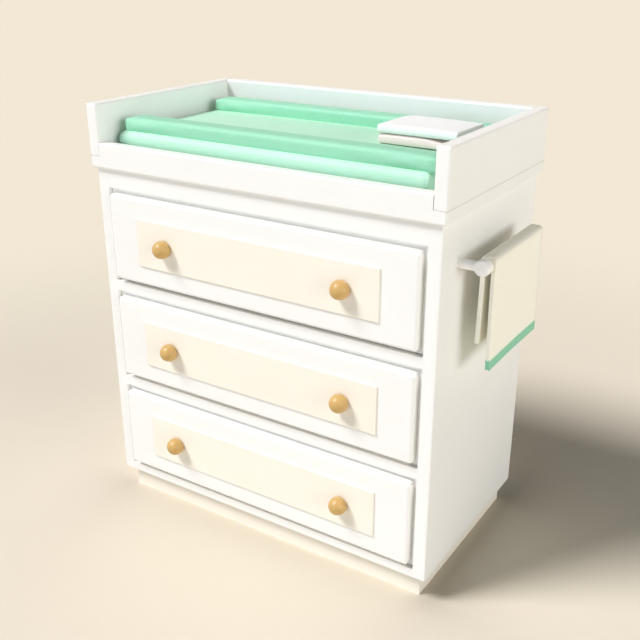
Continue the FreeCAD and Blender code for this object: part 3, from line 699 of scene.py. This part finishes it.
def makeRoll(name, node):
    low, high = boxOf(node)[:2]
    low[0], high[0] = low[0] + roll["shorter"], high[0] + roll["longer"]
    half, middle = (high - low) / 2 - roll["shrink"], (low + high) / 2
    rims = slabRims(half[1], low[2] - roll["sink"], high[2] - roll["inset"], roll["foot"], roll["round"])
    points = roundedSlab(half[0], half[1], roll["corner"], rims, across=90, down=8)
    points[..., :2] += middle[:2]
    piece, mesh = inflated(name, points, "roll_fabric", roll)
    points = meshPoints(mesh)
    # an end panel is sewn in at each end, so the roll is drawn in at that seam
    fromEnd = half[0] - np.abs(points[:, 0] - middle[0])
    pinch = roll["capPinch"] * np.exp(-((fromEnd - roll["capSeam"]) / roll["capWidth"]) ** 2)
    share = 1.0 - pinch / half[1]
    points[:, 1] = middle[1] + (points[:, 1] - middle[1]) * share
    points[:, 2] = low[2] + (points[:, 2] - low[2]) * share
    points[:, 2] = np.clip(points[:, 2], low[2] - roll["seat"], high[2] + roll["rise"])
    setMeshPoints(mesh, points)
    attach(piece, "pad")
    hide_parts(node)
    # round each end panel, but not where the roll lies on the pad
    turn = np.arange(-0.25 * math.pi, 1.25 * math.pi, stitch["pitch"] / half[1])
    outward = np.stack([np.zeros(len(turn)), np.cos(turn), np.sin(turn)], axis=-1)
    for side, sign in (("Left", -1), ("Right", 1)):
        centre = middle + np.array([sign * (half[0] - roll["capSeam"]), 0.0, 0.0])
        stitchRow(f"{name}Stitches{side}", mesh, centre + outward * roll["rayFrom"], -outward)


makePad()
makeRoll("frontRoll", "bolster_front")
makeRoll("backRoll", "bolster_back")
print("pad and rolls made")


def foldedTwice(sheet):
    # The cloth is first folded in panels, then in half. Along the panels the place runs out and back,
    # and at each panel's end it turns through half a circle to the next layer in. m is a layer's
    # distance from the middle of the stack. The half fold carries each layer from one side of the
    # middle to the other, round a squared half circle |x|^p + |y|^p = m^p.
    count, pitch, length = sheet["panels"], sheet["pitch"], sheet["length"]
    layers = pitch * (count - np.arange(count) - 0.5)
    along, depth = [], []
    for panel, m in enumerate(layers):
        last = panel == count - 1
        share = np.linspace(0.0, 1.0, sheet["rows"])
        start, end = pitch / 2 if panel else 0.0, length - (0.0 if last else pitch / 2)
        run = start + (end - start) * share
        along.append(run if panel % 2 == 0 else length - run)
        depth.append(np.full(sheet["rows"], m))
        if not last:
            turn = np.linspace(0.0, math.pi, sheet["turnRows"])[1:-1]
            tip = length - pitch / 2 + pitch / 2 * np.sin(turn)
            along.append(tip if panel % 2 == 0 else length - tip)
            depth.append(m - pitch / 2 * (1 - np.cos(turn)))
    along, depth = np.concatenate(along), np.concatenate(depth)
    reach = sheet["width"] - count * pitch
    straight = np.linspace(0.0, 1.0, sheet["columns"])
    turn = np.linspace(0.0, math.pi, sheet["turnColumns"])[1:-1]
    power = 2 / sheet["fold"]
    across = np.concatenate([straight, np.ones(len(turn)), straight[::-1]]) * reach
    forward = np.concatenate([np.zeros(len(straight)), np.sin(turn) ** power, np.zeros(len(straight))])
    halfTurn = -np.sign(np.cos(turn)) * np.abs(np.cos(turn)) ** power
    side = np.concatenate([-np.ones(len(straight)), halfTurn, np.ones(len(straight))])
    a = np.broadcast_to(along[:, None], (len(along), len(across)))
    b = across[None, :] + depth[:, None] * forward[None, :]
    c = depth[:, None] * side[None, :]
    return a, b, c


def gridNormals(points):
    # cross product of the two slopes of the grid
    return unitVectors(np.cross(np.gradient(points, axis=0), np.gradient(points, axis=1)))


def runLength(points, axis):
    # distance travelled along one axis of the grid, for the flat layout of the cloth
    steps = np.linalg.norm(np.diff(points, axis=axis), axis=-1)
    widths = [(0, 0), (0, 0)]
    widths[axis] = (1, 0)
    return np.cumsum(np.pad(steps, widths), axis=axis)


def edgeDirections(points):
    # along the cloth and away from it at its first and last rows and columns, and nothing inside
    total = np.zeros_like(points)
    for axis in (0, 1):
        slope = np.moveaxis(np.gradient(points, axis=axis), axis, 0)
        away = np.zeros_like(slope)
        away[0], away[-1] = -slope[0], slope[-1]
        total += np.moveaxis(unitVectors(away), 0, axis)
    return unitVectors(total)


def clothPiece(name, points, thickness, material, band=None):
    # Two skins half a thickness either side of the middle surface, joined by a rounded edge, which
    # stands out by 0.7 of that half. The UV map is the cloth laid flat, in metres.
    rows, columns = points.shape[:2]
    count = rows * columns
    half = np.broadcast_to(np.asarray(thickness), (rows, columns))[..., None] / 2
    lift = gridNormals(points) * half
    bulge = edgeDirections(points) * half * 0.7
    ring = np.concatenate([
        np.arange(columns), np.arange(1, rows) * columns + columns - 1,
        (rows - 1) * columns + np.arange(columns - 2, -1, -1), np.arange(rows - 2, 0, -1) * columns,
    ])
    front, back, edge = ((points + offset).reshape(-1, 3) for offset in (lift, -lift, bulge))
    allPoints = np.concatenate([front, back, edge[ring]])
    grid = gridFaces(rows, columns)
    tip = 2 * count + np.arange(len(ring))
    nextRing, nextTip = np.roll(ring, -1), np.roll(tip, -1)
    upper = np.stack([ring, nextRing, nextTip, tip], axis=-1)
    lower = np.stack([tip, nextTip, count + nextRing, count + ring], axis=-1)
    faces = np.concatenate([grid, count + grid[:, ::-1], upper, lower])
    flat = np.stack([
        np.broadcast_to(runLength(points, 0).mean(axis=1, keepdims=True), (rows, columns)),
        np.broadcast_to(runLength(points, 1).mean(axis=0, keepdims=True), (rows, columns)),
    ], axis=-1).reshape(-1, 2)
    attributes = None
    if band is not None:
        band = np.broadcast_to(band, (rows, columns)).reshape(-1)
        attributes = {"band": np.concatenate([band, band, band[ring]])}
    return makePiece(name, allPoints, faces, material, np.concatenate([flat, flat, flat[ring]]), attributes)


def hemmed(shape, base, extra, margin):
    # thicker along all four edges of the flat cloth, where its hem is turned under
    rows = np.minimum(np.arange(shape[0]), np.arange(shape[0])[::-1])
    columns = np.minimum(np.arange(shape[1]), np.arange(shape[1])[::-1])
    near = np.minimum(rows[:, None] / margin[0], columns[None, :] / margin[1])
    return base + extra * (1 - smoothStep(0.6, 1.0, near))


upperCloth = {
    "name": "upperCloth", "node": "cloth_upper", "slot": "cloth_white", "rests": ["lowerCloth"],
    "panels": 3, "rows": 42, "turnRows": 9, "columns": 30, "turnColumns": 17, "fold": 3.2,
    "thickness": 0.0029, "hem": 0.0004, "hemWidth": (4, 4), "thinnest": 0.55, "clear": 0.0003, "seed": 4,
    "pillow": 0.12, "pillowEnds": 0.12, "pillowBack": 0.25, "backShare": 0.4, "slump": 0.10,
    "slumpFrom": (0.55, 1.05), "wave": 0.012, "setBack": 0.0035, "slip": 0.0022, "waver": 0.0012,
}
lowerCloth = dict(
    upperCloth, name="lowerCloth", node="cloth_lower", slot="cloth_pink", rests=["changingPad"],
    thickness=0.0032, pillow=0.10, slump=0.38, seed=9,
)


def makeCloth(cloth):
    low, high = boxOf(cloth["node"])[:2]
    size = high - low
    pitch = size[2] / (2 * cloth["panels"])
    a, b, c = foldedTwice(dict(cloth, pitch=pitch, length=size[0], width=size[1]))
    phase = np.random.default_rng(cloth["seed"]).uniform(0, 2 * math.pi, 6)
    # the open edges at the back don't lie quite in line
    layer = np.sign(c) * np.round(np.abs(c) / pitch + 0.5)
    fromFold = np.clip(b / size[1], 0, 1)
    slip = cloth["slip"] * np.sin(2.1 * layer + phase[0]) + cloth["waver"] * np.sin(a * 40 + phase[1] + layer)
    b = b - (1 - fromFold) * (cloth["setBack"] + slip)
    across, deep, height = a / size[0], b / size[1], (c + size[2] / 2) / size[2]
    # soft corners: the stack is lower towards its ends and its open back, and slumps on the right
    ends = 1 - cloth["pillow"] * (1 - smoothStep(0.0, cloth["pillowEnds"], across))
    back = 1 - smoothStep(0.0, cloth["pillowBack"], deep)
    ends = ends - cloth["pillow"] * cloth["backShare"] * back
    ends = ends - cloth["slump"] * smoothStep(*cloth["slumpFrom"], across) ** 1.5
    wave = cloth["wave"] * np.sin(across * 5 + phase[2]) * np.sin(deep * 4 + phase[3])
    z = low[2] + cloth["clear"] + (size[2] - 2 * cloth["clear"]) * height * (ends + wave * height)
    points = np.stack([low[0] + a, high[1] - b, z], axis=-1)
    thick = hemmed(points.shape[:2], cloth["thickness"], cloth["hem"], cloth["hemWidth"])
    thick = thick * np.clip(ends, cloth["thinnest"], 1.0)
    points[..., 2] = np.maximum(points[..., 2], low[2] + thick / 2 + 0.0001)
    piece = clothPiece(cloth["name"], points, thick, finishes[cloth["slot"]])
    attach(piece, cloth["node"])
    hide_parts(cloth["node"])


makeCloth(lowerCloth)
makeCloth(upperCloth)
print("folded cloths made")


towel = {
    "panels": 2, "rows": 110, "turnRows": 11, "columns": 34, "turnColumns": 19, "pitch": 0.00248,
    "thickness": 0.0022, "hem": 0.0003, "hemWidth": (3, 3), "fold": 9.0, "seed": 3,
    "barX": 0.503, "barZ": 0.784, "middle": 0.0111, "square": 7.0, "squareFrom": (0.0075, 0.0147),
    "straightRows": 80, "archRows": 60, "innerRise": 0.054, "band": 0.021, "bandProud": 0.0005,
    "endStep": 0.003, "endReach": 0.2, "sideStep": 0.0015, "sideWaver": 0.001, "sideShift": 0.0025,
    "sideReach": 0.1, "dropReach": 0.22, "standOff": 0.0016, "wave": 0.0018,
}


def drapeLine(outerEnd, innerEnd):
    # up the outer side of the bar, over it in a half circle and down the inner side
    r = towel["middle"]
    turn = np.linspace(0.0, math.pi, towel["archRows"])
    up = np.linspace(outerEnd, towel["barZ"], towel["straightRows"])[:-1]
    down = np.linspace(towel["barZ"], innerEnd, towel["straightRows"])[1:]
    lineX = np.concatenate([np.full(len(up), r), np.cos(turn) * r, np.full(len(down), -r)]) + towel["barX"]
    lineZ = np.concatenate([up, np.sin(turn) * r + towel["barZ"], down])
    return np.stack([lineX, lineZ], axis=-1)


def makeTowel():
    low, high = boxOf("towel")[:2]
    line = drapeLine(low[2], low[2] + towel["innerRise"])
    steps = distances(line)
    sheet = dict(towel, length=steps[-1], width=high[1] - low[1])
    a, b, c = foldedTwice(sheet)
    phase = np.random.default_rng(towel["seed"]).uniform(0, 2 * math.pi, 8)
    # each layer's open end and open side stop at their own place
    inner = 1 - np.abs(c) / np.abs(c).max()
    a = a + towel["endStep"] * inner * np.clip(1 - a / towel["endReach"], 0, 1)
    fromBack = np.clip(1 - b / towel["sideReach"], 0, 1)
    stagger = towel["sideStep"] * np.sin(phase[0] + 3 * np.sign(c))
    waver = towel["sideWaver"] * np.sin(a * 9 + phase[1])
    b = b - fromBack * (stagger + waver - towel["sideShift"])
    slope = np.gradient(line, steps, axis=0)
    normalX, normalZ = np.interp(a, steps, -slope[:, 1]), np.interp(a, steps, slope[:, 0])
    size = np.hypot(normalX, normalZ)
    x = np.interp(a, steps, line[:, 0]) - c * normalX / size - towel["barX"]
    z = np.interp(a, steps, line[:, 1]) - c * normalZ / size - towel["barZ"]
    # over the bar the outer layers are pressed square, |x|^p + |z|^p = r^p, and the inner ones stay round
    radius = np.hypot(x, z)
    power = 2 + (towel["square"] - 2) * smoothStep(*towel["squareFrom"], radius)
    arch = (np.abs(x / radius) ** power + np.abs(z / radius) ** power) ** (-1 / power)
    arch = np.where(z > 0, arch, 1.0)
    x = x * arch + towel["barX"]
    z = z * arch + towel["barZ"]
    # both flaps stand off a little towards their feet, in one slow wave
    y = high[1] - b
    drop = np.clip((towel["barZ"] - z) / towel["dropReach"], 0, 1) ** 1.5
    wave = 0.5 + 0.5 * np.sin(y * 16 + phase[2])
    x = x + np.where(x > towel["barX"], 1.0, -1.0) * drop * (towel["standOff"] + towel["wave"] * wave)
    points = np.stack([x, y, z], axis=-1)
    thick = hemmed(points.shape[:2], towel["thickness"], towel["hem"], towel["hemWidth"])
    bandMask = (a < towel["band"]).astype(float)
    proud = towel["bandProud"] * bandMask * (np.abs(c) > towel["pitch"])
    piece = clothPiece("towelCloth", points, thick + proud, finishes["towel_fabric"], band=bandMask)
    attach(piece, "towel")
    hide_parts("towel")


makeTowel()
print("towel made")


screw = {
    "radius": 0.0045, "height": 0.0022, "rimDrop": 0.55, "rings": 9, "around": 32,
    "slot": 0.0007, "slotDepth": 0.0012, "slotSides": (0.6, 1.3), "slotEnds": (0.55, 0.7),
    "knobScale": 1.15, "slideScale": 0.8, "railWeb": 0.0015, "runnerFace": 0.0065,
    "railSpots": ((-0.205, 0.011), (-0.06, -0.011), (0.155, 0.011)), "runnerSpots": (-0.2, -0.03, 0.14),
}


def screwHeads(name, centres, outward, body, scale):
    # a dome whose height falls with the square of the radius, less a cross where either
    # coordinate is within half a slot's width of the middle
    radius, height = screw["radius"] * scale, screw["height"] * scale
    share = np.linspace(0.0, 1.0, screw["rings"])
    turn = np.linspace(0.0, 2 * math.pi, screw["around"], endpoint=False)
    s, t = np.meshgrid(share, turn, indexing="ij")
    u, v = radius * s * np.cos(t), radius * s * np.sin(t)
    arm = np.minimum(np.abs(u), np.abs(v))
    across = smoothStep(*screw["slotSides"], arm / (screw["slot"] * scale))
    recess = (1 - across) * (1 - smoothStep(*screw["slotEnds"], s))
    w = height * (1 - screw["rimDrop"] * s * s) - recess * screw["slotDepth"] * scale
    rim = np.stack([u[-1], v[-1], np.zeros(screw["around"])], axis=-1)
    head = np.concatenate([np.stack([u, v, w], axis=-1), rim[None], np.zeros_like(rim)[None]])
    axis = np.array(outward, float)
    first = np.cross(axis, (0.0, 0.0, 1.0) if abs(axis[2]) < 0.9 else (1.0, 0.0, 0.0))
    turned = head.reshape(-1, 3) @ np.stack([first, np.cross(axis, first), axis])
    points = turned[None] + np.array(centres, float)[:, None]
    faces = repeated(gridFaces(*head.shape[:2], wrapColumns=True), len(centres), len(turned))
    piece = makePiece(name, points, faces, finishes["slide_steel"], merge=0.00001)
    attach(piece, body)


for level in ("top", "middle", "bottom"):
    drawer = f"drawer_{level}"
    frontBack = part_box(f"front_{level}")[1][1]
    knobs = [boxOf(f"knob_{side}_{level}")[2] for side in ("left", "right")]
    spots = [(knob[0], frontBack, knob[2]) for knob in knobs]
    screwHeads(f"knobScrews_{level}", spots, (0, 1, 0), drawer, screw["knobScale"])
    railHigh, railMiddle = boxOf(f"slide_rails_{level}")[1:3]
    web = railHigh[0] - screw["railWeb"]
    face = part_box(f"slide_runners_{level}")[1][0] - screw["runnerFace"]
    for side, sign in (("Left", -1), ("Right", 1)):
        spots = [(sign * web, y, railMiddle[2] + dz) for y, dz in screw["railSpots"]]
        screwHeads(f"railScrews{side}_{level}", spots, (-sign, 0, 0), "carcass", screw["slideScale"])
        spots = [(sign * face, y, railMiddle[2]) for y in screw["runnerSpots"]]
        screwHeads(f"runnerScrews{side}_{level}", spots, (sign, 0, 0), drawer, screw["slideScale"])
print("fasteners made")


joint = {"height": 0.0011, "proud": 0.00025, "deep": 0.002, "sunk": 0.004, "corner": 0.0006}


def makeJointLine():
    # the hairline between the tray walls and the top board, as a thin ring let into their outer faces, in a
    # dark colour that is partly the joint's own line and partly painted shade of the crack
    high, middle, half = boxOf("top_board")[1:]
    rims = [(inset, side * joint["height"]) for inset, side in (
        (joint["deep"], -0.5), (-joint["proud"], -0.5), (-joint["proud"], 0.5), (joint["deep"], 0.5))]
    points = roundedSlab(half[0], half[1], joint["corner"], rims)
    # in front the low rail runs flush with the board, so the line goes under the surface there
    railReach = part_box("tray_rail")[1][0] - middle[0]
    flush = (np.abs(points[..., 0]) < railReach) & (points[..., 1] < 0)
    points[..., 1] += np.where(flush, joint["sunk"], 0.0)
    points = points + np.array([middle[0], middle[1], high[2]])
    faces = gridFaces(*points.shape[:2], wrapRows=True, wrapColumns=True)
    piece = makePiece("trayJoint", points, faces, jointShadeFill, merge=0.00001)
    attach(piece, "carcass")


makeJointLine()
print("joint line made")


# near the dresser's foot the floor gets painted shade: a most and a reach in front and at the side, and the x
# and y ranges where each applies
stageSet = {
    "floor": (235, 225, 206), "floorShade": (230, 220, 200), "backdrop": (242, 232, 213),
    "fade": (1.0, 2.7), "reach": 40.0, "foot": (0.43, 0.23), "frontPaintedShade": (0.2, 0.2), "sidePaintedShade": (0.5, 0.1),
    "frontShadeMask": ((-0.65, -0.4), (-0.2, -0.235)), "sideShadeMask": ((0.4, 0.46), (-0.3, -0.2)),
    "sky": (0.95, 0.98, 1.0), "world": 0.094,
}
# each lamp's strength, the way its light travels, its angle in degrees and its colour
lights = {
    "keyLight": (3.2, (1.0, 1.0, -1.75), 20.0, (0.98, 0.965, 0.985)),
    "sideLight": (2.5, (-1.0, 0.14, -0.045), 46.0, (0.99, 1.0, 0.99)),
    "frontLight": (0.66, (0.2, 1.0, -0.05), 20.0, (0.56, 0.76, 1.0)),
}
photoView = {"lens": 50.0, "sensor": 36.0, "place": (1.117, -1.720, 1.357), "tilt": 67.33, "turn": 32.64}


def seenRays(tree):
    # 1 for the rays that show the background: straight from the camera, mirrored or through glass
    rays = addNode(tree, "LightPath").outputs
    total = maths(tree, "ADD", rays["Is Camera Ray"], rays["Is Glossy Ray"])
    return maths(tree, "MINIMUM", maths(tree, "ADD", total, rays["Is Transmission Ray"]), 1.0)


def makeFloor():
    # matt paper round the dresser, which takes its shadow and carries painted shade near the dresser's foot,
    # and farther out the backdrop's own colour
    paper = {"Roughness": 0.95, "Specular IOR Level": 0.1}
    material, tree, shader, spot = newMaterial("floorPaper", paper)
    grain = times(tree, noise(tree, spot, 3.0, 3.0), 0.02)
    colour = mixColour(tree, grain, stageSet["floor"], stageSet["floorShade"])
    # Painted shade: near its foot the dresser throws light on the paper, most of all into the shadow at its
    # right, so the paper's colour is darkened there by a share that falls off as e^(-distance / reach).
    x, y = apart(tree, spot)[:2]
    beyond = []
    for axis, edge in zip((x, y), stageSet["foot"]):
        past = maths(tree, "SUBTRACT", maths(tree, "ABSOLUTE", axis), edge)
        beyond.append(maths(tree, "MAXIMUM", past, 0.0))
    away = vectorMaths(tree, "LENGTH", together(tree, *beyond), output=1)
    paintedShades = []
    for most, reach in (stageSet["frontPaintedShade"], stageSet["sidePaintedShade"]):
        fall = maths(tree, "EXPONENT", maths(tree, "DIVIDE", away, -reach))
        paintedShades.append(times(tree, fall, most))
    inFront, atSide = (times(tree, remap(tree, x, *stageSet[mask][0]), remap(tree, y, *stageSet[mask][1]))
                       for mask in ("frontShadeMask", "sideShadeMask"))
    # the painted shade: the front share in front of the foot, the side share beside it
    paintedShade = mix(tree, atSide, times(tree, paintedShades[0], inFront), paintedShades[1])
    # the paper's colour is darkened towards black by the painted shade
    tree.links.new(mixColour(tree, paintedShade, colour, (0, 0, 0)), shader.inputs["Base Color"])
    distance = vectorMaths(tree, "LENGTH", spot, output=1)
    values = {"Value": distance, "From Min": stageSet["fade"][0], "From Max": stageSet["fade"][1]}
    share = addNode(tree, "MapRange", {"interpolation_type": "SMOOTHSTEP"}, values).outputs[0]
    shown = {"Color": toLinear(*stageSet["backdrop"]), "Strength": 1.0}
    glow = addNode(tree, "Emission", None, shown).outputs[0]
    seen = times(tree, share, seenRays(tree))
    mixed = addNode(tree, "MixShader", None, {0: seen, 1: shader.outputs[0], 2: glow}).outputs[0]
    output = next(node for node in tree.nodes if node.type == "OUTPUT_MATERIAL")
    tree.links.new(mixed, output.inputs["Surface"])
    points = np.array([(-1, -1, 0), (1, -1, 0), (1, 1, 0), (-1, 1, 0)]) * stageSet["reach"]
    makePiece("floor", points, np.array([[0, 1, 2, 3]]), material)


def makeWorld():
    world = bpy.data.worlds.new("studio")
    bpy.context.scene.world = world
    world.use_nodes = True
    tree = world.node_tree
    tree.nodes.clear()
    shown = {"Color": toLinear(*stageSet["backdrop"]), "Strength": 1.0}
    lit = {"Color": (*stageSet["sky"], 1.0), "Strength": stageSet["world"]}
    backdrop = addNode(tree, "Background", None, shown).outputs[0]
    ambient = addNode(tree, "Background", None, lit).outputs[0]
    mixed = addNode(tree, "MixShader", None, {0: seenRays(tree), 1: ambient, 2: backdrop})
    addNode(tree, "OutputWorld", None, {"Surface": mixed.outputs[0]})


def makeSun(name, strength, travel, angle, colour):
    lamp = bpy.data.lights.new(name, "SUN")
    lamp.energy = strength
    lamp.angle = math.radians(angle)
    lamp.color = colour
    sun = bpy.data.objects.new(name, lamp)
    x, y, z = travel
    sun.rotation_euler = (math.atan2(math.hypot(x, y), -z), 0.0, math.atan2(y, x) - math.pi / 2)
    bpy.context.scene.collection.objects.link(sun)


def makeCamera():
    lens = bpy.data.cameras.new("photoView")
    lens.lens = photoView["lens"]
    lens.sensor_width = photoView["sensor"]
    camera = bpy.data.objects.new("photoView", lens)
    camera.location = photoView["place"]
    camera.rotation_euler = (math.radians(photoView["tilt"]), 0.0, math.radians(photoView["turn"]))
    bpy.context.scene.collection.objects.link(camera)
    bpy.context.scene.camera = camera


makeFloor()
makeWorld()
for name, values in lights.items():
    makeSun(name, *values)
makeCamera()
bpy.context.scene.view_settings.view_transform = "Standard"
print("stage, lights and camera made")
